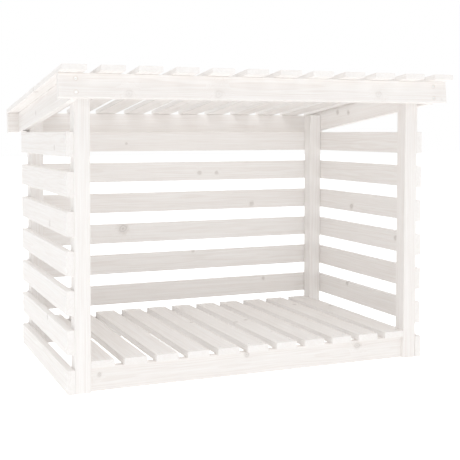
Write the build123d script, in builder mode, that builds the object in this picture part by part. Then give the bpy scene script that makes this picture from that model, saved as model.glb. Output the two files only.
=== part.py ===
from build123d import *
import math
import os

os.makedirs("parts", exist_ok=True)

# Log store of planed pine boards, in millimetres. The open front faces -Y, the roof falls to +Y,
# Z is up from the ground, and X = 0, Y = 0 is the middle of the overall plan.

# Timber sections, with their long edges eased and their ends sawn square
post_side = 40.0
post_edge = 2.5
board_width = 60.0
board_thickness = 18.0
fascia_width = 58.5
roof_board_thickness = 14.0
board_edge = 2.0
sawn_edge = 0.4

# Frame over the outer faces of the posts
overall_height = 790.0
frame_length = 980.0
frame_depth = 578.0

# Roof: lengths along the slope, with its plane on the undersides of the roof slats
roof_angle = 6.7
roof_side_overhang = 50.0
roof_front_overhang = 34.5
rafter_front_reach = 38.1
back_fascia_clearance = 24.8
roof_slat_count = 12
post_top_clearance = 7.0

# Walls
wall_row_count = 7
wall_top_clearance = 2.4
upper_slat_setback = 5.0
upper_slat_back_gap = 3.0

# Floor
floor_slat_count = 11
floor_beam_setback = 12.0
floor_slat_end_gap = 1.0

# Screws through the fascias into the ends of the rafters, with countersinks that set the heads below flush
screw_spacing = 32.0
screw_hole_radius = 2.2
countersink_radius = 4.8
countersink_angle = 90.0
pilot_hole_radius = 1.3
pilot_hole_depth = 32.0

# Roof layout along the slope, measured from the front eave
roof_sin = math.sin(math.radians(roof_angle))
roof_cos = math.cos(math.radians(roof_angle))
front_fascia_start = roof_front_overhang
rafter_start = front_fascia_start + board_thickness
frame_start = rafter_start + rafter_front_reach
back_slats_end = frame_start + (frame_depth + board_thickness) / roof_cos
rafter_end = back_slats_end + back_fascia_clearance
rafter_length = rafter_end - rafter_start
roof_slat_length = rafter_end + board_thickness

# Plan and heights that follow from the roof
overall_depth = roof_slat_length * roof_cos + roof_board_thickness * roof_sin
front_eave_y = -overall_depth / 2
front_eave_z = overall_height - roof_board_thickness * roof_cos
frame_front_y = front_eave_y + frame_start * roof_cos
frame_back_y = frame_front_y + frame_depth
frame_right_x = frame_length / 2
frame_left_x = -frame_right_x
inner_span = frame_length - 2 * post_side
roof_length = frame_length + 2 * roof_side_overhang
rafter_x = frame_right_x + board_thickness / 2

# Section across the roof slats and rafters, seen from the front, and along the fascias, seen from the side
across_roof = Plane(
    origin=(0, front_eave_y, front_eave_z),
    x_dir=(1, 0, 0),
    z_dir=(0, -roof_cos, roof_sin),
)
along_roof = Plane(
    origin=(-roof_length / 2, front_eave_y, front_eave_z),
    x_dir=(0, roof_cos, -roof_sin),
    z_dir=(1, 0, 0),
)


def roof_underside_z(y):
    return front_eave_z - (y - front_eave_y) * roof_sin / roof_cos


rafter_underside_z = roof_underside_z(frame_back_y) - board_width / roof_cos
wall_pitch = (rafter_underside_z - wall_top_clearance - board_width) / (wall_row_count - 1)


def save(piece, label):
    piece.part.label = label
    export_step(piece.part, f"parts/{label}.step")


# Posts: square timbers on the ground, sawn off just below the roof slats
def make_post(label, middle_x, middle_y):
    post_height = roof_underside_z(middle_y + post_side / 2) - post_top_clearance
    with BuildPart() as post:
        with BuildSketch(Plane.XY):
            with Locations((middle_x, middle_y)):
                RectangleRounded(post_side, post_side, post_edge)
        extrude(amount=post_height)
        chamfer(post.edges().group_by(Axis.Z)[0], length=sawn_edge)
        chamfer(post.edges().group_by(Axis.Z)[-1], length=sawn_edge)
    save(post, label)


post_x = frame_right_x - post_side / 2
front_post_y = frame_front_y + post_side / 2
back_post_y = frame_back_y - post_side / 2
make_post("front_left_post", -post_x, front_post_y)
make_post("front_right_post", post_x, front_post_y)
make_post("back_left_post", -post_x, back_post_y)
make_post("back_right_post", post_x, back_post_y)


# Fascias: boards that lean with the slope, across the square-sawn ends of the rafters
def make_fascia(label, start, outer_face, outward):
    with BuildPart() as fascia:
        with BuildSketch(along_roof):
            with Locations((start + board_thickness / 2, -fascia_width / 2)):
                RectangleRounded(board_thickness, fascia_width, board_edge)
        extrude(amount=roof_length)
        chamfer(fascia.edges().group_by(Axis.X)[0], length=sawn_edge)
        chamfer(fascia.edges().group_by(Axis.X)[-1], length=sawn_edge)
        with Locations(Plane(across_roof.offset(-outer_face).origin, x_dir=(1, 0, 0), z_dir=outward)):
            with Locations((0, screw_middle(outward))):
                with GridLocations(2 * rafter_x, screw_spacing, 2, 2):
                    CounterSinkHole(
                        radius=screw_hole_radius,
                        counter_sink_radius=countersink_radius,
                        depth=board_thickness,
                        counter_sink_angle=countersink_angle,
                    )
    save(fascia, label)


# The plane on the back fascia's outer face has its Y axis down the board, so its middle is at plus
def screw_middle(outward):
    return -fascia_width / 2 if outward[1] < 0 else fascia_width / 2


to_front = (0, -roof_cos, roof_sin)
to_back = (0, roof_cos, -roof_sin)
make_fascia("front_fascia", front_fascia_start, front_fascia_start, to_front)
make_fascia("back_fascia", rafter_end, rafter_end + board_thickness, to_back)


# Rafters: one on the outer faces of each pair of posts, with pilot holes for the fascias' screws
def make_rafter(label, middle_x):
    with BuildPart() as rafter:
        with BuildSketch(across_roof.offset(-rafter_start)):
            with Locations((middle_x, -board_width / 2)):
                RectangleRounded(board_thickness, board_width, board_edge)
        extrude(amount=-rafter_length)
        front_end = across_roof.offset(-rafter_start)
        back_end = Plane(across_roof.offset(-rafter_end).origin, x_dir=(1, 0, 0), z_dir=to_back)
        with Locations(front_end):
            with Locations((middle_x, -fascia_width / 2)):
                with GridLocations(0, screw_spacing, 1, 2):
                    Hole(radius=pilot_hole_radius, depth=pilot_hole_depth)
        with Locations(back_end):
            with Locations((middle_x, fascia_width / 2)):
                with GridLocations(0, screw_spacing, 1, 2):
                    Hole(radius=pilot_hole_radius, depth=pilot_hole_depth)
    save(rafter, label)


make_rafter("left_rafter", -rafter_x)
make_rafter("right_rafter", rafter_x)


# Roof slats: evenly spaced from end to end of the fascias
roof_pitch = (roof_length - board_width) / (roof_slat_count - 1)


def make_roof_slat(label, middle_x):
    with BuildPart() as roof_slat:
        with BuildSketch(across_roof):
            with Locations((middle_x, roof_board_thickness / 2)):
                RectangleRounded(board_width, roof_board_thickness, board_edge)
        extrude(amount=-roof_slat_length)
        end_faces = roof_slat.faces().sort_by(Axis.Y)
        chamfer(end_faces[0].edges() + end_faces[-1].edges(), length=sawn_edge)
    save(roof_slat, label)


for index in range(roof_slat_count):
    slat_x = -roof_length / 2 + board_width / 2 + index * roof_pitch
    make_roof_slat(f"roof_slat_{index + 1:02d}", slat_x)


# Floor beams: boards on edge between the posts, under the ends of the floor slats
def make_floor_beam(label, middle_y):
    with BuildPart() as floor_beam:
        with BuildSketch(Plane.YZ.offset(-inner_span / 2)):
            with Locations((middle_y, board_width / 2)):
                RectangleRounded(board_thickness, board_width, board_edge)
        extrude(amount=inner_span)
    save(floor_beam, label)


beam_inset = floor_beam_setback + board_thickness / 2
make_floor_beam("front_floor_beam", frame_front_y + beam_inset)
make_floor_beam("back_floor_beam", frame_back_y - beam_inset)


# Floor slats: laid front to back on the floor beams, evenly spaced between the posts
floor_pitch = (inner_span - board_width) / (floor_slat_count - 1)
floor_slat_length = frame_depth - 2 * floor_slat_end_gap


def make_floor_slat(label, middle_x):
    with BuildPart() as floor_slat:
        with BuildSketch(Plane.XZ.offset(-frame_front_y - floor_slat_end_gap)):
            with Locations((middle_x, board_width + board_thickness / 2)):
                RectangleRounded(board_width, board_thickness, board_edge)
        extrude(amount=-floor_slat_length)
        chamfer(floor_slat.edges().group_by(Axis.Y)[0], length=sawn_edge)
        chamfer(floor_slat.edges().group_by(Axis.Y)[-1], length=sawn_edge)
    save(floor_slat, label)


for index in range(floor_slat_count):
    slat_x = -inner_span / 2 + board_width / 2 + index * floor_pitch
    make_floor_slat(f"floor_slat_{index + 1:02d}", slat_x)


# Side slats: level boards on the outer faces of the posts, the lowest one on the ground and full length
def make_side_slats(label, middle_x):
    with BuildPart() as side_slats:
        for row in range(wall_row_count):
            setback = 0 if row == 0 else upper_slat_setback
            back_gap = 0 if row == 0 else upper_slat_back_gap
            with BuildSketch(Plane.XZ.offset(-frame_front_y - setback)):
                with Locations((middle_x, row * wall_pitch + board_width / 2)):
                    RectangleRounded(board_thickness, board_width, board_edge)
            extrude(amount=setback + back_gap - frame_depth)
    save(side_slats, label)


make_side_slats("left_side_slats", -rafter_x)
make_side_slats("right_side_slats", rafter_x)


# Back slats: level boards on the back faces of the posts, in the same rows as the side slats
def make_back_slats(label):
    with BuildPart() as back_slats:
        for row in range(wall_row_count):
            with BuildSketch(Plane.YZ.offset(frame_left_x)):
                with Locations((frame_back_y + board_thickness / 2, row * wall_pitch + board_width / 2)):
                    RectangleRounded(board_thickness, board_width, board_edge)
            extrude(amount=frame_length)
    save(back_slats, label)


make_back_slats("back_slats")
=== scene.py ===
import math
import bpy
from mathutils import Matrix, Vector


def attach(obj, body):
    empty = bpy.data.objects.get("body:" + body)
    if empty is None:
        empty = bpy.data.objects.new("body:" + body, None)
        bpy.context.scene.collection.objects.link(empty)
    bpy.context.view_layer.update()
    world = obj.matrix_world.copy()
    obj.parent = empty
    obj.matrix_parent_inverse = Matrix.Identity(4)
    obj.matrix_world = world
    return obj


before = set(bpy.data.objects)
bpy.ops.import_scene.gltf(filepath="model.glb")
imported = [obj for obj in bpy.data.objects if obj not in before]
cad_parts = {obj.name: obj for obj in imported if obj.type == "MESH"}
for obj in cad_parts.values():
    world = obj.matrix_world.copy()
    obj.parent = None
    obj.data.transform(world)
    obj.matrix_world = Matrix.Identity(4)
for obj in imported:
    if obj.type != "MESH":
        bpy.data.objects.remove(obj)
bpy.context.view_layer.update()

scene = bpy.context.scene
nodeNames = sorted(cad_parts)
print("frame:", len(nodeNames), "timber pieces")


# sRGB hex to linear colour, as the shader sockets want it
def linearColour(hexValue):
    channels = []
    for start in (0, 2, 4):
        value = int(hexValue[start:start + 2], 16) / 255
        channels.append(value / 12.92 if value <= 0.04045 else ((value + 0.055) / 1.055) ** 2.4)
    return (*channels, 1.0)


# Adds one node: its settings, then its inputs by order or by name, as links or plain values
def addNode(tree, kind, settings, inputs=()):
    node = tree.nodes.new(kind)
    for name, value in settings.items():
        setattr(node, name, value)
    for socket, value in inputs.items() if isinstance(inputs, dict) else enumerate(inputs):
        if isinstance(value, bpy.types.Node):
            value = value.outputs[0]
        if isinstance(value, bpy.types.NodeSocket):
            tree.links.new(value, node.inputs[socket])
        elif value is not None:
            node.inputs[socket].default_value = value
    return node


# The inputs of a Map Range node: what it maps, from which range and to which
def ranges(value, fromRange=(0.0, 1.0), toRange=(0.0, 1.0)):
    return {"Value": value, "From Min": fromRange[0], "From Max": fromRange[1],
            "To Min": toRange[0], "To Max": toRange[1]}


# Settings that many nodes share
addUp, takeAway = {"operation": "ADD"}, {"operation": "SUBTRACT"}
multiply, divide = {"operation": "MULTIPLY"}, {"operation": "DIVIDE"}
multiplyAdd = {"operation": "MULTIPLY_ADD"}
smallest, largest = {"operation": "MINIMUM"}, {"operation": "MAXIMUM"}
unsigned, length = {"operation": "ABSOLUTE"}, {"operation": "LENGTH"}
smoothStep = {"interpolation_type": "SMOOTHSTEP"}
inThree = {"noise_dimensions": "3D"}
inOne = {"noise_dimensions": "1D"}


# Camera at the photograph's viewing angle, a little below the roof, with the frame shifted right and down.
# Place in metres, turn and tilt in degrees, lens in millimetres, shift in picture widths.
camera = {
    "place": (-0.9973, -2.3318, 0.6339),
    "turnRight": 21.697,
    "tiltDown": 2.467,
    "lens": 68.84,
    "shift": (0.076, -0.130),
}


def makeCamera():
    data = bpy.data.cameras.new("studioCamera")
    data.lens = camera["lens"]
    data.shift_x, data.shift_y = camera["shift"]
    cameraObject = bpy.data.objects.new("studioCamera", data)
    cameraObject.location = camera["place"]
    tilt, turn = math.radians(90 - camera["tiltDown"]), math.radians(-camera["turnRight"])
    cameraObject.rotation_euler = (tilt, 0, turn)
    scene.collection.objects.link(cameraObject)
    scene.camera = cameraObject


makeCamera()
print("camera: set")


# Soft white studio: an even sky, a lit white floor just under the store's feet, and square lamps low in front,
# above and behind. Lengths in metres, powers in watts.
studio = {
    "white": "FFFFFF",
    "skyStrength": 0.585,
    "skyShown": 1.0,
    "floorSize": 40.0,
    "floorDrop": 0.0004,
    "floorColour": "F4F4F4",
    "floorLight": 0.34,
    "floorShown": 0.85,
    "lampTarget": (0.0, 0.0, 0.35),
    "lamps": {
        "frontLamp": {"place": (0.3, -3.6, 0.6), "size": 2.0, "power": 12.0},
        "topLamp": {"place": (-0.5, -0.3, 4.2), "size": 6.0, "power": 105.0},
        "backLamp": {"place": (0.5, 3.6, 1.6), "size": 2.5, "power": 12.0},
    },
}


# One for the rays that show the background itself, to the camera, in a reflection or through glass, and
# zero for light
def shownRays(tree):
    rays = addNode(tree, "ShaderNodeLightPath", {})
    seen = addNode(tree, "ShaderNodeMath", largest,
                   [rays.outputs["Is Camera Ray"], rays.outputs["Is Glossy Ray"]])
    return addNode(tree, "ShaderNodeMath", largest, [seen, rays.outputs["Is Transmission Ray"]])


def makeSky():
    world = bpy.data.worlds.new("whiteStudio")
    scene.world = world
    world.use_nodes = True
    tree = world.node_tree
    tree.nodes.clear()
    white = linearColour(studio["white"])
    light = addNode(tree, "ShaderNodeBackground", {}, [white, studio["skyStrength"]])
    shown = addNode(tree, "ShaderNodeBackground", {}, [white, studio["skyShown"]])
    mixed = addNode(tree, "ShaderNodeMixShader", {}, [shownRays(tree), light, shown])
    addNode(tree, "ShaderNodeOutputWorld", {}, [mixed])


def makeLamps():
    for name, lamp in studio["lamps"].items():
        data = bpy.data.lights.new(name, "AREA")
        data.energy, data.size = lamp["power"], lamp["size"]
        lampObject = bpy.data.objects.new(name, data)
        lampObject.location = lamp["place"]
        aim = Vector(studio["lampTarget"]) - Vector(lamp["place"])
        lampObject.rotation_euler = aim.to_track_quat("-Z", "Y").to_euler()
        scene.collection.objects.link(lampObject)


# White paper: a matt white that also glows a little, so that it comes out white and keeps soft shadows
def makeFloor():
    half, low = studio["floorSize"] / 2, -studio["floorDrop"]
    corners = [(-half, -half, low), (half, -half, low), (half, half, low), (-half, half, low)]
    mesh = bpy.data.meshes.new("studioFloor")
    mesh.from_pydata(corners, [], [(0, 1, 2, 3)])
    floor = bpy.data.objects.new("studioFloor", mesh)
    scene.collection.objects.link(floor)
    paper = bpy.data.materials.new("whitePaperMatt")
    paper.use_nodes = True
    tree = paper.node_tree
    tree.nodes.clear()
    matt = addNode(tree, "ShaderNodeBsdfDiffuse", {}, [linearColour(studio["floorColour"])])
    strength = addNode(tree, "ShaderNodeMapRange", {},
                       ranges(shownRays(tree), toRange=(studio["floorLight"], studio["floorShown"])))
    glow = addNode(tree, "ShaderNodeEmission", {}, [linearColour(studio["white"]), strength])
    both = addNode(tree, "ShaderNodeAddShader", {}, [matt, glow])
    addNode(tree, "ShaderNodeOutputMaterial", {}, [both])
    mesh.materials.append(paper)


scene.view_settings.view_transform = "Standard"
makeSky()
makeLamps()
makeFloor()
print("studio: sky, lamps and floor")


# Planed pine under a thin white wash, which evens its colour to a warm white. The wash thins out over the hard
# late wood of each year ring and along the eased edges, lets knots through as greyish rings, and dries matt
# with the brush's streaks along the board. A ring of painted shade round the countersunk holes stands in for
# the countersinks' shade.
# Lengths are in millimetres and rates per millimetre, in the order along, across and through the board.
# Places in a year ring are shares of a year, and places round a knot are in its own radii.
pine = {
    "washColour": "FCFAF8",
    "woodColour": "E3D9D2",
    "knotColour": "C4BEBA",
    "knotRimColour": "C9C0B9",
    "washCover": 0.86,
    "boardDifference": 0.10,
    "ringStrength": 0.20,
    "fibreStrength": 0.30,
    "streakStrength": 0.20,
    "patchStrength": 0.10,
    "edgeWear": 0.16,
    "sawnSoak": 0.06,
    # painted shade round the countersunk holes: how much wash it takes away, so the wood shows darker there
    "holeShadeDarkening": 0.45,
    # where the wash thins, along the edges and at the sawn ends, and the ring of painted shade round the holes
    "edgeBand": (0.5, 3.2),
    "edgePatches": (-0.3, 0.6),
    "holeShadeBand": (4.6, 7.6),
    "sawnFacing": 0.8,
    "sawnEvenness": 0.75,
    # year rings, of logs that differ from board to board
    "logSpread": 90.0,
    "ringSpacing": 2.9,
    "pithAcross": (-38.0, 8.0),
    "pithThrough": (8.0, 62.0),
    "waveRate": (0.0034, 0.006, 0.006),
    "waveRoughness": 0.45,
    "waveBend": 11.0,
    "growthRate": 0.06,
    "growthBend": 3.2,
    "lateWoodRise": (0.25, 0.86),
    "lateWoodEnd": (0.90, 1.0),
    "yearDifference": (0.25, 1.0),
    # knots: how dark they are, where strays lie, and the shape of one
    "knotTone": 0.75,
    "knotSpacing": 520.0,
    "knotBand": 70.0,
    "knotScatter": 0.8,
    "knotChance": 0.5,
    "knotSize": 6.5,
    "smallestKnot": 0.05,
    "wobbleRate": 0.075,
    "wobbleFrom": (0.25, 0.75),
    "wobbleTo": (0.75, 1.3),
    "knotHeart": (0.55, 1.15),
    "knotRim": (0.9, 1.7),
    "rimCover": 0.38,
    "knotRings": 11.0,
    "knotRingTones": (0.08, 0.92),
    "swirlReach": (0.3, 3.4),
    "swirlBend": 14.0,
    # fibres, brush streaks and patches
    "clouds": {
        "fibre": {"rate": (0.010, 0.44, 0.44), "roughness": 0.6},
        "streak": {"rate": (0.0035, 0.15, 0.15), "roughness": 0.55},
        "patch": {"rate": (0.0045, 0.022, 0.022), "roughness": 0.5},
    },
    "cloudRange": (0.28, 0.72),
    "cloudDetail": 3.0,
    # the finish
    "roughness": 0.62,
    "ringShine": 0.10,
    "streakRoughness": 0.14,
    "knotShine": 0.12,
    "sawnRoughness": 0.15,
    "ringRelief": 0.5,
    "fibreRelief": 0.45,
    "rimRelief": 0.6,
    "reliefStrength": 0.6,
    "reliefHeight": 0.00035,   # in metres
    "indexOfRefraction": 1.5,
    "specular": 0.35,
}

# Out of reach of any knot, in its own radii, and of any hole, in millimetres
farOff = 20.0


def makePineGroup():
    group = bpy.data.node_groups.new("whitewashedPineBoard", "ShaderNodeTree")
    for direction, kind, names in (
            ("INPUT", "NodeSocketVector", ("Board", "Facing")),
            ("INPUT", "NodeSocketFloat", ("Row", "Knots", "Knot Tone", "Strays", "Bore", "Half Width",
                                          "Half Thickness")),
            ("OUTPUT", "NodeSocketColor", ("Colour",)),
            ("OUTPUT", "NodeSocketFloat", ("Roughness", "Height"))):
        for name in names:
            group.interface.new_socket(name, in_out=direction, socket_type=kind)
    given = addNode(group, "NodeGroupInput", {}).outputs
    board = given["Board"]

    # every board is cut from another place of another log
    lottery = addNode(group, "ShaderNodeTexWhiteNoise", inOne, {"W": given["Row"]}).outputs["Color"]
    chance = addNode(group, "ShaderNodeSeparateXYZ", {}, [lottery]).outputs
    cutFrom = addNode(group, "ShaderNodeVectorMath", {"operation": "SCALE"},
                      {0: lottery, "Scale": pine["logSpread"]})

    # knots: the nearest of the set ones and of one stray per stretch of board, in knot radii
    stretch = (pine["knotSpacing"], pine["knotBand"], 0.0)
    cells = addNode(group, "ShaderNodeVectorMath", multiplyAdd,
                    [board, (1 / stretch[0], 1 / stretch[1], 0.0), cutFrom])
    stray = addNode(group, "ShaderNodeTexVoronoi", {"voronoi_dimensions": "3D", "feature": "F1"},
                    {"Vector": cells, "Scale": 1.0, "Randomness": pine["knotScatter"]}).outputs
    apart = addNode(group, "ShaderNodeVectorMath", takeAway, [cells, stray["Position"]])
    apart = addNode(group, "ShaderNodeVectorMath", multiply, [apart, stretch])
    apart = addNode(group, "ShaderNodeVectorMath", length, [apart]).outputs["Value"]
    strayChance = addNode(group, "ShaderNodeSeparateXYZ", {}, [stray["Color"]]).outputs["X"]
    straySize = addNode(group, "ShaderNodeMapRange", {},
                        ranges(strayChance, (pine["knotChance"], 1.0), (0.0, pine["knotSize"])))
    straySize = addNode(group, "ShaderNodeMath", largest, [straySize, pine["smallestKnot"]])
    strayRadii = addNode(group, "ShaderNodeMath", divide, [apart, straySize])
    noStrays = addNode(group, "ShaderNodeMath", multiplyAdd, [given["Strays"], -farOff, farOff])
    strayRadii = addNode(group, "ShaderNodeMath", addUp, [strayRadii, noStrays])
    wobble = addNode(group, "ShaderNodeTexNoise", inThree,
                     {"Vector": board, "Scale": pine["wobbleRate"], "Detail": 1.0})
    wobble = addNode(group, "ShaderNodeMapRange", {}, ranges(wobble, pine["wobbleFrom"], pine["wobbleTo"]))
    nearest = addNode(group, "ShaderNodeMath", smallest, [given["Knots"], strayRadii])
    nearest = addNode(group, "ShaderNodeMath", multiply, [nearest, wobble])
    swirl = addNode(group, "ShaderNodeMapRange", {"interpolation_type": "SMOOTHERSTEP"},
                    ranges(nearest, pine["swirlReach"], (pine["swirlBend"], 0.0)))
    heart = addNode(group, "ShaderNodeMapRange", smoothStep, ranges(nearest, pine["knotHeart"], (1.0, 0.0)))
    rim = addNode(group, "ShaderNodeMapRange", smoothStep, ranges(nearest, pine["knotRim"], (1.0, 0.0)))
    knotRings = addNode(group, "ShaderNodeMath", multiply, [nearest, pine["knotRings"]])
    knotRings = addNode(group, "ShaderNodeMath", {"operation": "SINE"}, [knotRings])
    knotDark = addNode(group, "ShaderNodeMapRange", {}, ranges(knotRings, (-1.0, 1.0), pine["knotRingTones"]))
    knotDark = addNode(group, "ShaderNodeMath", multiply, [knotDark, given["Knot Tone"]])

    # year rings round a pith that lies beside the board's middle, bent by slow waves and by the knots
    waves = addNode(group, "ShaderNodeVectorMath", multiplyAdd, [board, pine["waveRate"], cutFrom])
    waves = addNode(group, "ShaderNodeTexNoise", inThree,
                    {"Vector": waves, "Scale": 1.0, "Detail": 3.0, "Roughness": pine["waveRoughness"]})
    pithAcross = addNode(group, "ShaderNodeMapRange", {}, ranges(chance["X"], toRange=pine["pithAcross"]))
    pithThrough = addNode(group, "ShaderNodeMapRange", {}, ranges(chance["Y"], toRange=pine["pithThrough"]))
    pith = addNode(group, "ShaderNodeCombineXYZ", {}, [0.0, pithAcross, pithThrough])
    ringPlace = addNode(group, "ShaderNodeVectorMath", multiplyAdd, [board, (0.0, 1.0, 1.0), pith])
    ringPlace = addNode(group, "ShaderNodeVectorMath", multiplyAdd,
                        [waves.outputs["Color"], (0.0, pine["waveBend"], pine["waveBend"]), ringPlace])
    radius = addNode(group, "ShaderNodeVectorMath", length, [ringPlace]).outputs["Value"]
    radius = addNode(group, "ShaderNodeMath", addUp, [radius, swirl])
    growth = addNode(group, "ShaderNodeTexNoise", inOne,
                     {"W": radius, "Scale": pine["growthRate"], "Detail": 1.0})
    growth = addNode(group, "ShaderNodeMath", multiply, [growth, pine["growthBend"]])
    year = addNode(group, "ShaderNodeMath", multiplyAdd, [radius, 1 / pine["ringSpacing"], growth])
    inYear = addNode(group, "ShaderNodeMath", {"operation": "FRACT"}, [year])
    darkening = addNode(group, "ShaderNodeMapRange", smoothStep, ranges(inYear, pine["lateWoodRise"]))
    winter = addNode(group, "ShaderNodeMapRange", smoothStep, ranges(inYear, pine["lateWoodEnd"], (1.0, 0.0)))
    lateWood = addNode(group, "ShaderNodeMath", multiply, [darkening, winter])
    whichYear = addNode(group, "ShaderNodeMath", {"operation": "FLOOR"}, [year])
    yearStrength = addNode(group, "ShaderNodeTexWhiteNoise", inOne, {"W": whichYear})
    yearStrength = addNode(group, "ShaderNodeMapRange", {},
                           ranges(yearStrength.outputs["Value"], toRange=pine["yearDifference"]))
    lateWood = addNode(group, "ShaderNodeMath", multiply, [lateWood, yearStrength])

    # fibres, brush streaks and thicker or thinner patches of wash, all long along the board
    spread = {}
    for name, cloud in pine["clouds"].items():
        place = addNode(group, "ShaderNodeVectorMath", multiplyAdd, [board, cloud["rate"], cutFrom])
        noise = addNode(group, "ShaderNodeTexNoise", inThree,
                        {"Vector": place, "Scale": 1.0, "Detail": pine["cloudDetail"],
                         "Roughness": cloud["roughness"]})
        spread[name] = addNode(group, "ShaderNodeMapRange", {}, ranges(noise, pine["cloudRange"], (-0.5, 0.5)))

    # painted shade round a countersunk hole: the countersink's shade, painted as wash taken away so the wood
    # shows darker
    paintedHoleShade = addNode(group, "ShaderNodeMapRange", smoothStep,
                    ranges(given["Bore"], pine["holeShadeBand"], (1.0, 0.0)))

    # eased edges, where handling rubs the wash thin, and the sawn ends
    size = addNode(group, "ShaderNodeVectorMath", unsigned, [board])
    size = addNode(group, "ShaderNodeSeparateXYZ", {}, [size]).outputs
    toEdge = addNode(group, "ShaderNodeMath", takeAway, [given["Half Width"], size["Y"]])
    toFace = addNode(group, "ShaderNodeMath", takeAway, [given["Half Thickness"], size["Z"]])
    corner = addNode(group, "ShaderNodeMath", largest, [toEdge, toFace])
    worn = addNode(group, "ShaderNodeMapRange", smoothStep, ranges(corner, pine["edgeBand"], (1.0, 0.0)))
    rubbed = addNode(group, "ShaderNodeMath", addUp, [spread["patch"], spread["streak"]])
    rubbed = addNode(group, "ShaderNodeMapRange", {}, ranges(rubbed, pine["edgePatches"]))
    worn = addNode(group, "ShaderNodeMath", multiply, [worn, rubbed])
    facing = addNode(group, "ShaderNodeVectorMath", unsigned, [given["Facing"]])
    facing = addNode(group, "ShaderNodeSeparateXYZ", {}, [facing]).outputs
    sawn = addNode(group, "ShaderNodeMath", {"operation": "GREATER_THAN"}, [facing["X"], pine["sawnFacing"]])

    # how much wash lies on the wood; the sawn ends soak it up evenly
    fibreLong = addNode(group, "ShaderNodeMath", multiplyAdd, [sawn, -pine["sawnEvenness"], 1.0])
    spread["fibre"] = addNode(group, "ShaderNodeMath", multiply, [spread["fibre"], fibreLong])
    leastCover = pine["washCover"] - pine["boardDifference"] / 2
    mostCover = pine["washCover"] + pine["boardDifference"] / 2
    cover = addNode(group, "ShaderNodeMapRange", {}, ranges(chance["Z"], toRange=(leastCover, mostCover)))
    # the painted shade round the holes takes wash away there, so the wood shows darker
    for part, amount in ((lateWood, -pine["ringStrength"]), (spread["fibre"], pine["fibreStrength"]),
                         (spread["streak"], pine["streakStrength"]), (spread["patch"], pine["patchStrength"]),
                         (worn, -pine["edgeWear"]), (sawn, pine["sawnSoak"]), (paintedHoleShade, -pine["holeShadeDarkening"])):
        cover = addNode(group, "ShaderNodeMath", multiplyAdd, [part, amount, cover])
    cover.use_clamp = True

    # the wood's colour under the wash, then each knot's rim and its ringed heart
    rimTone = addNode(group, "ShaderNodeMath", multiply, [given["Knot Tone"], pine["rimCover"]])
    rimOnly = addNode(group, "ShaderNodeMath", multiply, [rim, rimTone])
    heartOnly = addNode(group, "ShaderNodeMath", multiply, [heart, knotDark])
    colour = linearColour(pine["woodColour"])
    for factor, over in ((cover, "washColour"), (rimOnly, "knotRimColour"), (heartOnly, "knotColour")):
        colour = addNode(group, "ShaderNodeMix", {"data_type": "RGBA"},
                         {"Factor": factor, "A": colour, "B": linearColour(pine[over])}).outputs["Result"]

    # smoother late wood and knots, rougher streaks and sawn ends
    rough = pine["roughness"]
    for part, amount in ((lateWood, -pine["ringShine"]), (spread["streak"], pine["streakRoughness"]),
                         (heart, -pine["knotShine"]), (sawn, pine["sawnRoughness"])):
        rough = addNode(group, "ShaderNodeMath", multiplyAdd, [part, amount, rough])
    rough.use_clamp = True

    # late wood and brush marks stand up, knots lie a little low
    height = addNode(group, "ShaderNodeMath", multiply, [lateWood, pine["ringRelief"]])
    height = addNode(group, "ShaderNodeMath", multiplyAdd, [spread["fibre"], pine["fibreRelief"], height])
    height = addNode(group, "ShaderNodeMath", multiplyAdd, [rim, -pine["rimRelief"], height])
    addNode(group, "NodeGroupOutput", {}, [colour, rough, height])
    return group


# The timber frame's own places, in metres, which the grain and the screws follow. X and Y are of middle lines
# unless they say face. Along is down the roof's slope from its front edge, on the undersides of the slats.
timber = {
    "roofTilt": 6.7,   # in degrees
    "roofEdge": (0.0, -0.36507, 0.77610),
    "roofThickness": 0.014,
    "roofCount": 12,
    "roofPitch": 0.092727,
    "firstRoofX": -0.510,
    "halfFascia": 0.02925,
    "frontFasciaAlong": 0.0435,
    "backFasciaAlong": 0.7245,
    "frontFaceAlong": 0.0345,
    "backFaceAlong": 0.73351,
    "postX": 0.470,
    "frontPostY": -0.25508,
    "backPostY": 0.28292,
    "halfBoard": 0.030,
    "wallCount": 7,
    "wallPitch": 0.095797,
    "sideX": 0.499,
    "sideFaceX": 0.508,
    "backY": 0.31192,
    "backFaceY": 0.32092,
    "frontBeamY": -0.25408,
    "backBeamY": 0.28192,
    "floorCount": 11,
    "floorPitch": 0.084,
    "floorZ": 0.069,
    "floorFaceZ": 0.078,
}
millimetre = 0.001
roofTilt = math.radians(timber["roofTilt"])
right, back, up = Vector((1, 0, 0)), Vector((0, 1, 0)), Vector((0, 0, 1))
downSlope = Vector((0, math.cos(roofTilt), -math.sin(roofTilt)))
upFromRoof = Vector((0, math.sin(roofTilt), math.cos(roofTilt)))
roofEdge = Vector(timber["roofEdge"])
fasciaMiddle = roofEdge - upFromRoof * timber["halfFascia"]
rafterMiddle = roofEdge - upFromRoof * timber["halfBoard"]
slatMiddle = roofEdge + upFromRoof * (timber["roofThickness"] / 2)

# How each kind of board lies: the way its grain runs, the way across its face, and half its width and
# thickness, with the pitch of its rows, its screw holes' place from the middle, and 0.0 strays where no
# random knots are wanted. In millimetres.
boardKinds = {
    "post": {"along": up, "across": right, "halves": (20, 20), "strays": 0.0},
    "fascia": {"along": right, "across": upFromRoof, "halves": (29.25, 9), "bores": (499, 16), "strays": 0.0},
    "rafter": {"along": downSlope, "across": upFromRoof, "halves": (30, 9)},
    "roofSlats": {"along": downSlope, "across": right, "halves": (30, 7),
                  "pitch": timber["roofPitch"] / millimetre},
    "floorBeam": {"along": right, "across": up, "halves": (30, 9)},
    "floorSlats": {"along": back, "across": right, "halves": (30, 9),
                   "pitch": timber["floorPitch"] / millimetre},
    "sideSlats": {"along": back, "across": up, "halves": (30, 9),
                  "pitch": timber["wallPitch"] / millimetre, "strays": 0.0},
    "backSlats": {"along": right, "across": up, "halves": (30, 9),
                  "pitch": timber["wallPitch"] / millimetre, "strays": 0.0},
}

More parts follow.
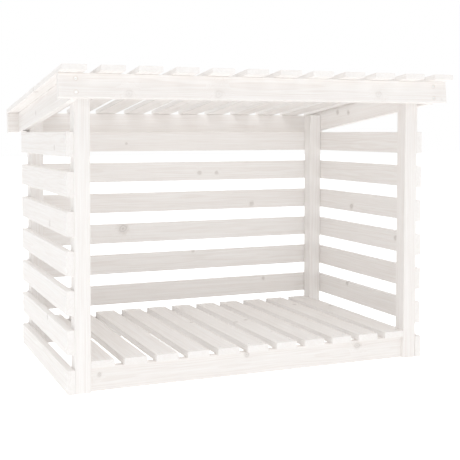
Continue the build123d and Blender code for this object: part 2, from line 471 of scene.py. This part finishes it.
# One material for each set of boards. Nodes are those whose names start so. The origin, in metres, is on the
# middle line of the board in row 0. Knots are those that are seen in the photograph: the row, the place along
# the grain and across it, and the radius, in millimetres.
boardSets = {
    "frontLeftPost": {"kind": "post", "nodes": "front_left_post", "seed": 3,
                      "origin": (-timber["postX"], timber["frontPostY"], 0)},
    "frontRightPost": {"kind": "post", "nodes": "front_right_post", "seed": 11,
                       "origin": (timber["postX"], timber["frontPostY"], 0)},
    "backLeftPost": {"kind": "post", "nodes": "back_left_post", "seed": 19,
                     "origin": (-timber["postX"], timber["backPostY"], 0)},
    "backRightPost": {"kind": "post", "nodes": "back_right_post", "seed": 27,
                      "origin": (timber["postX"], timber["backPostY"], 0)},
    "frontFascia": {"kind": "fascia", "nodes": "front_fascia", "seed": 35, "knotTone": 0.22,
                    "origin": fasciaMiddle + downSlope * timber["frontFasciaAlong"],
                    "knots": [(0, -139, -14, 12), (0, 322, -8, 10), (0, 524, -19, 4), (0, -372, -17, 11)]},
    "backFascia": {"kind": "fascia", "nodes": "back_fascia", "seed": 43,
                   "origin": fasciaMiddle + downSlope * timber["backFasciaAlong"]},
    "leftRafter": {"kind": "rafter", "nodes": "left_rafter", "seed": 51,
                   "origin": rafterMiddle - right * timber["sideX"],
                   "knots": [(0, 456, -6, 6)]},
    "rightRafter": {"kind": "rafter", "nodes": "right_rafter", "seed": 59,
                    "origin": rafterMiddle + right * timber["sideX"],
                    "knots": [(0, 526, 13, 7), (0, 460, 4, 7)]},
    "roofSlats": {"kind": "roofSlats", "nodes": "roof_slat", "seed": 67,
                  "origin": slatMiddle + right * timber["firstRoofX"]},
    "frontFloorBeam": {"kind": "floorBeam", "nodes": "front_floor_beam", "seed": 90, "knotTone": 0.6,
                       "strays": 0.0, "origin": (0, timber["frontBeamY"], timber["halfBoard"]),
                       "knots": [(0, -427, 11, 6), (0, -29, 23, 7), (0, 307, 17, 10)]},
    "backFloorBeam": {"kind": "floorBeam", "nodes": "back_floor_beam", "seed": 98,
                      "origin": (0, timber["backBeamY"], timber["halfBoard"])},
    "floorSlats": {"kind": "floorSlats", "nodes": "floor_slat", "seed": 110,
                   "origin": (0, 0, timber["floorZ"]),
                   "knots": [(1, 17, 16, 6), (-1, 45, 21, 5), (1, 2, -23, 5)]},
    "leftSideSlats": {"kind": "sideSlats", "nodes": "left_side_slats", "seed": 130, "knotTone": 0.5,
                      "origin": (-timber["sideX"], 0, timber["halfBoard"]),
                      "knots": [(6, -144, -9, 6), (4, -85, -15, 8), (1, -48, 22, 7)]},
    "rightSideSlats": {"kind": "sideSlats", "nodes": "right_side_slats", "seed": 146,
                       "origin": (timber["sideX"], 0, timber["halfBoard"]),
                       "knots": [(4, 65, -13, 9), (3, -174, 9, 7), (1, 89, 27, 7)]},
    "backSlats": {"kind": "backSlats", "nodes": "back_slats", "seed": 162, "knotTone": 0.6,
                  "origin": (0, timber["backY"], timber["halfBoard"]),
                  "knots": [(6, -179, -6, 4), (5, 66, -6, 6), (5, 126, -7, 6), (4, 253, -16, 8),
                            (3, -192, 15, 15), (2, 45, 29, 5), (1, 297, 20, 5)]},
}

# Millimetres between the rows where knots are looked up, so that none shows on another row
rowsApart = 2000.0


def makeBoardMaterial(setName, boards, group):
    material = bpy.data.materials.new("whitewashedPine" + setName[0].upper() + setName[1:])
    material.use_nodes = True
    tree = material.node_tree
    tree.nodes.clear()
    along, across = boards["along"], boards["across"]
    turn = tuple(Matrix((along, across, along.cross(across))).transposed().to_euler())
    place = addNode(tree, "ShaderNodeTexCoord", {}).outputs
    inBoard = addNode(tree, "ShaderNodeMapping", {"vector_type": "TEXTURE"},
                      {"Vector": place["Object"], "Location": tuple(boards["origin"]), "Rotation": turn,
                       "Scale": (millimetre, millimetre, millimetre)})
    facing = addNode(tree, "ShaderNodeMapping", {"vector_type": "TEXTURE"},
                     {"Vector": place["Normal"], "Rotation": turn})
    parts = addNode(tree, "ShaderNodeSeparateXYZ", {}, [inBoard]).outputs

    # the row of each board, and the distance from its own middle line
    row, own = 0.0, parts["Y"]
    if "pitch" in boards:
        row = addNode(tree, "ShaderNodeMath", divide, [parts["Y"], boards["pitch"]])
        row = addNode(tree, "ShaderNodeMath", {"operation": "ROUND"}, [row])
        own = addNode(tree, "ShaderNodeMath", multiplyAdd, [row, -boards["pitch"], parts["Y"]])
    board = addNode(tree, "ShaderNodeCombineXYZ", {}, [parts["X"], own, parts["Z"]])

    # how far the nearest set knot is
    nearest = farOff
    if "knots" in boards:
        onRow = addNode(tree, "ShaderNodeMath", multiply, [row, rowsApart])
        onRow = addNode(tree, "ShaderNodeCombineXYZ", {}, [parts["X"], own, onRow])
        for knotRow, knotAlong, knotAcross, knotRadius in boards["knots"]:
            away = addNode(tree, "ShaderNodeVectorMath", {"operation": "DISTANCE"},
                           [onRow, (knotAlong, knotAcross, knotRow * rowsApart)])
            away = addNode(tree, "ShaderNodeMath", divide, [away.outputs["Value"], knotRadius])
            nearest = addNode(tree, "ShaderNodeMath", smallest, [away, nearest])

    # how far the nearest screw hole is, of four placed alike in the board's quarters
    bore = farOff
    if "bores" in boards:
        folded = addNode(tree, "ShaderNodeVectorMath", unsigned, [board])
        folded = addNode(tree, "ShaderNodeVectorMath", takeAway, [folded, (*boards["bores"], 0.0)])
        folded = addNode(tree, "ShaderNodeVectorMath", multiply, [folded, (1.0, 1.0, 0.0)])
        bore = addNode(tree, "ShaderNodeVectorMath", length, [folded]).outputs["Value"]

    number = addNode(tree, "ShaderNodeMath", addUp, [row, boards["seed"]])
    wood = addNode(tree, "ShaderNodeGroup", {"node_tree": group},
                   {"Board": board, "Facing": facing, "Row": number, "Knots": nearest,
                    "Knot Tone": boards.get("knotTone", pine["knotTone"]), "Strays": boards.get("strays", 1.0),
                    "Bore": bore, "Half Width": boards["halves"][0],
                    "Half Thickness": boards["halves"][1]}).outputs
    relief = addNode(tree, "ShaderNodeBump", {},
                     {"Height": wood["Height"], "Strength": pine["reliefStrength"],
                      "Distance": pine["reliefHeight"]})
    shader = addNode(tree, "ShaderNodeBsdfPrincipled", {},
                     {"Base Color": wood["Colour"], "Roughness": wood["Roughness"], "Normal": relief,
                      "IOR": pine["indexOfRefraction"], "Specular IOR Level": pine["specular"]})
    addNode(tree, "ShaderNodeOutputMaterial", {}, [shader])
    return material


def dressTimber():
    group = makePineGroup()
    for setName, boards in boardSets.items():
        material = makeBoardMaterial(setName, {**boardKinds[boards["kind"]], **boards}, group)
        for name in nodeNames:
            if name.startswith(boards["nodes"]):
                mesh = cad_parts[name].data
                mesh.materials.clear()
                mesh.materials.append(material)


dressTimber()
print("pine:", len(boardSets), "sets of boards")


# Countersunk wood screws, by their heads: through the fascias into the rafters, down through the roof and
# floor slats, and through the wall slats and rafters into the posts. Lengths in metres.
screws = {
    "headRadius": 0.0040,
    "shankRadius": 0.0020,
    "headDepth": 0.0020,
    "easedEdge": 0.00035,
    "recessLength": 0.0024,
    "recessWidth": 0.0006,
    "recessDepth": 0.0005,
    "sides": 20,
    "turnSeed": 5,
    # how far the heads stand out of the slats, and how deep they lie in the fascias' countersinks
    "proud": 0.00022,
    "sunk": 0.00045,
    # how far apart the two of a pair are
    "pairInWalls": 0.030,
    "pairInRoof": 0.030,
    "pairInFloor": 0.034,
    "pairInFascia": 0.032,
    # the pairs down the roof slats, over the fascias, and the pairs' middle below them in the rafters
    "alongRoof": (0.0435, 0.72451),
    "belowRoof": 0.0302,
}


# Place and outward axis of each head
def screwPlaces():
    places = []
    heights = [timber["halfBoard"] + row * timber["wallPitch"] for row in range(timber["wallCount"])]
    for side in (-1, 1):
        outward = right * side
        for pair in (-0.5, 0.5):
            inFascia = fasciaMiddle + outward * timber["sideX"] + upFromRoof * pair * screws["pairInFascia"]
            places.append((inFascia + downSlope * (timber["frontFaceAlong"] + screws["sunk"]), -downSlope))
            places.append((inFascia + downSlope * (timber["backFaceAlong"] - screws["sunk"]), downSlope))
            sideFace = outward * (timber["sideFaceX"] + screws["proud"])
            inWall = pair * screws["pairInWalls"]
            for postY in (timber["frontPostY"], timber["backPostY"]):
                for height in heights:
                    places.append((sideFace + Vector((0, postY, height + inWall)), outward))
                onSlope = roofEdge + downSlope * ((postY - roofEdge.y) / downSlope.y)
                places.append((onSlope + upFromRoof * (inWall - screws["belowRoof"]) + sideFace, outward))
            backFaceY = timber["backFaceY"] + screws["proud"]
            for height in heights:
                places.append((Vector((side * timber["postX"], backFaceY, height + inWall)), back))
    for pair in (-0.5, 0.5):
        roofFace = upFromRoof * (timber["roofThickness"] + screws["proud"])
        for slat in range(timber["roofCount"]):
            slatX = timber["firstRoofX"] + slat * timber["roofPitch"] + pair * screws["pairInRoof"]
            for along in screws["alongRoof"]:
                places.append((roofEdge + downSlope * along + roofFace + right * slatX, upFromRoof))
        floorFaceZ = timber["floorFaceZ"] + screws["proud"]
        middleSlat = (timber["floorCount"] - 1) / 2
        for slat in range(timber["floorCount"]):
            slatX = (slat - middleSlat) * timber["floorPitch"] + pair * screws["pairInFloor"]
            for beamY in (timber["frontBeamY"], timber["backBeamY"]):
                places.append((Vector((slatX, beamY, floorFaceZ)), up))
    return places


# Bright zinc plating on turned steel: a clear, slightly milky shine with faint grey clouds and fine turning
# marks. Scales are per metre.
zinc = {
    "greyColour": "EEEDEB",
    "brightColour": "FEFEFC",
    "cloudScale": 700.0,
    "cloudRange": (0.3, 0.7),
    "roughness": (0.38, 0.24),
    "markScale": 3500.0,
    "markStrength": 0.25,
    "markHeight": 0.00005,
    "metallic": 0.7,
}


def makeZinc():
    material = bpy.data.materials.new("zincPlatedSteelBright")
    material.use_nodes = True
    tree = material.node_tree
    tree.nodes.clear()
    place = addNode(tree, "ShaderNodeTexCoord", {}).outputs["Object"]
    clouds = addNode(tree, "ShaderNodeTexNoise", inThree,
                     {"Vector": place, "Scale": zinc["cloudScale"], "Detail": 3.0})
    clouds = addNode(tree, "ShaderNodeMapRange", {}, ranges(clouds, zinc["cloudRange"]))
    colour = addNode(tree, "ShaderNodeMix", {"data_type": "RGBA"},
                     {"Factor": clouds, "A": linearColour(zinc["greyColour"]),
                      "B": linearColour(zinc["brightColour"])})
    rough = addNode(tree, "ShaderNodeMapRange", {}, ranges(clouds, toRange=zinc["roughness"]))
    marks = addNode(tree, "ShaderNodeTexNoise", inThree,
                    {"Vector": place, "Scale": zinc["markScale"], "Detail": 2.0})
    relief = addNode(tree, "ShaderNodeBump", {},
                     {"Height": marks, "Strength": zinc["markStrength"], "Distance": zinc["markHeight"]})
    shader = addNode(tree, "ShaderNodeBsdfPrincipled", {},
                     {"Base Color": colour.outputs["Result"], "Roughness": rough, "Normal": relief,
                      "Metallic": zinc["metallic"]})
    addNode(tree, "ShaderNodeOutputMaterial", {}, [shader])
    return material


def makeScrewTree():
    group = bpy.data.node_groups.new("countersunkScrews", "GeometryNodeTree")
    for kind, names in (
            ("NodeSocketGeometry", ("Geometry",)),
            ("NodeSocketFloat", ("headRadius", "shankRadius", "headDepth", "easedEdge", "recessLength",
                                 "recessWidth", "recessDepth")),
            ("NodeSocketInt", ("sides", "turnSeed")),
            ("NodeSocketMaterial", ("finish",))):
        for name in names:
            group.interface.new_socket(name, in_out="INPUT", socket_type=kind)
    group.interface.new_socket("Geometry", in_out="OUTPUT", socket_type="NodeSocketGeometry")
    given = addNode(group, "NodeGroupInput", {}).outputs

    # a drum of three rings, of height -1, 0 and 1, turned into the head: its eased top edge and its cone
    drum = addNode(group, "GeometryNodeMeshCylinder", {},
                   {"Vertices": given["sides"], "Side Segments": 2, "Radius": 1.0, "Depth": 2.0})
    at = addNode(group, "GeometryNodeInputPosition", {})
    level = addNode(group, "ShaderNodeSeparateXYZ", {}, [at]).outputs["Z"]
    above = addNode(group, "ShaderNodeMath", largest, [level, 0.0])
    below = addNode(group, "ShaderNodeMath", smallest, [level, 0.0])
    narrowing = addNode(group, "ShaderNodeMath", takeAway, [given["headRadius"], given["shankRadius"]])
    radius = addNode(group, "ShaderNodeMath", multiplyAdd, [below, narrowing, given["headRadius"]])
    edge = addNode(group, "ShaderNodeMath", multiply, [above, given["easedEdge"]])
    radius = addNode(group, "ShaderNodeMath", takeAway, [radius, edge])
    rest = addNode(group, "ShaderNodeMath", takeAway, [given["headDepth"], given["easedEdge"]])
    height = addNode(group, "ShaderNodeMath", takeAway, [edge, given["easedEdge"]])
    height = addNode(group, "ShaderNodeMath", multiplyAdd, [below, rest, height])
    flat = addNode(group, "ShaderNodeVectorMath", multiply, [at, (1.0, 1.0, 0.0)])
    flat = addNode(group, "ShaderNodeVectorMath", {"operation": "SCALE"}, {0: flat, "Scale": radius})
    lift = addNode(group, "ShaderNodeCombineXYZ", {}, [0.0, 0.0, height])
    place = addNode(group, "ShaderNodeVectorMath", addUp, [flat, lift])
    head = addNode(group, "GeometryNodeSetPosition", {}, {"Geometry": drum, "Position": place})

    # the cross recess
    deep = addNode(group, "ShaderNodeMath", multiply, [given["recessDepth"], 2.0])
    bars = addNode(group, "GeometryNodeJoinGeometry", {})
    for sizeX, sizeY in ("recessLength", "recessWidth"), ("recessWidth", "recessLength"):
        size = addNode(group, "ShaderNodeCombineXYZ", {}, [given[sizeX], given[sizeY], deep])
        bar = addNode(group, "GeometryNodeMeshCube", {}, {"Size": size})
        group.links.new(bar.outputs[0], bars.inputs[0])
    cut = addNode(group, "GeometryNodeMeshBoolean", {"operation": "DIFFERENCE"},
                  {"Mesh 1": head, "Mesh 2": bars})

    # one head on every point, square to the wood, each stopped at its own turn; of the random node's sockets,
    # input 3 is the greatest plain number and output 1 the plain number
    axis = addNode(group, "GeometryNodeInputNamedAttribute", {"data_type": "FLOAT_VECTOR"}, {"Name": "axis"})
    square = addNode(group, "FunctionNodeAlignRotationToVector", {"axis": "Z"}, {"Vector": axis})
    turn = addNode(group, "FunctionNodeRandomValue", {"data_type": "FLOAT"},
                   {"Seed": given["turnSeed"], 3: math.pi}).outputs[1]
    turn = addNode(group, "ShaderNodeCombineXYZ", {}, [0.0, 0.0, turn])
    spin = addNode(group, "FunctionNodeEulerToRotation", {}, [turn])
    rotation = addNode(group, "FunctionNodeRotateRotation", {"rotation_space": "LOCAL"}, [square, spin])
    placed = addNode(group, "GeometryNodeInstanceOnPoints", {},
                     {"Points": given["Geometry"], "Instance": cut, "Rotation": rotation})
    real = addNode(group, "GeometryNodeRealizeInstances", {}, [placed])
    done = addNode(group, "GeometryNodeSetMaterial", {}, {"Geometry": real, "Material": given["finish"]})
    addNode(group, "NodeGroupOutput", {}, [done])
    return group


def makeScrews():
    places = screwPlaces()
    points = bpy.data.meshes.new("screwPoints")
    points.from_pydata([tuple(place) for place, axis in places], [], [])
    axes = points.attributes.new("axis", "FLOAT_VECTOR", "POINT")
    for index, (place, axis) in enumerate(places):
        axes.data[index].vector = axis
    piece = bpy.data.objects.new("screws", points)
    scene.collection.objects.link(piece)
    group = makeScrewTree()
    modifier = piece.modifiers.new("countersunkScrews", "NODES")
    modifier.node_group = group
    values = {**screws, "finish": makeZinc()}
    for item in group.interface.items_tree:
        if item.item_type == "SOCKET" and item.in_out == "INPUT" and item.name in values:
            modifier[item.identifier] = values[item.name]
    evaluated = piece.evaluated_get(bpy.context.evaluated_depsgraph_get())
    mesh = bpy.data.meshes.new_from_object(evaluated)
    mesh.name = "screws"
    piece.modifiers.remove(modifier)
    piece.data = mesh
    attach(piece, "root")
    print("screws:", len(places), "heads of", len(mesh.polygons) // len(places), "faces")


makeScrews()
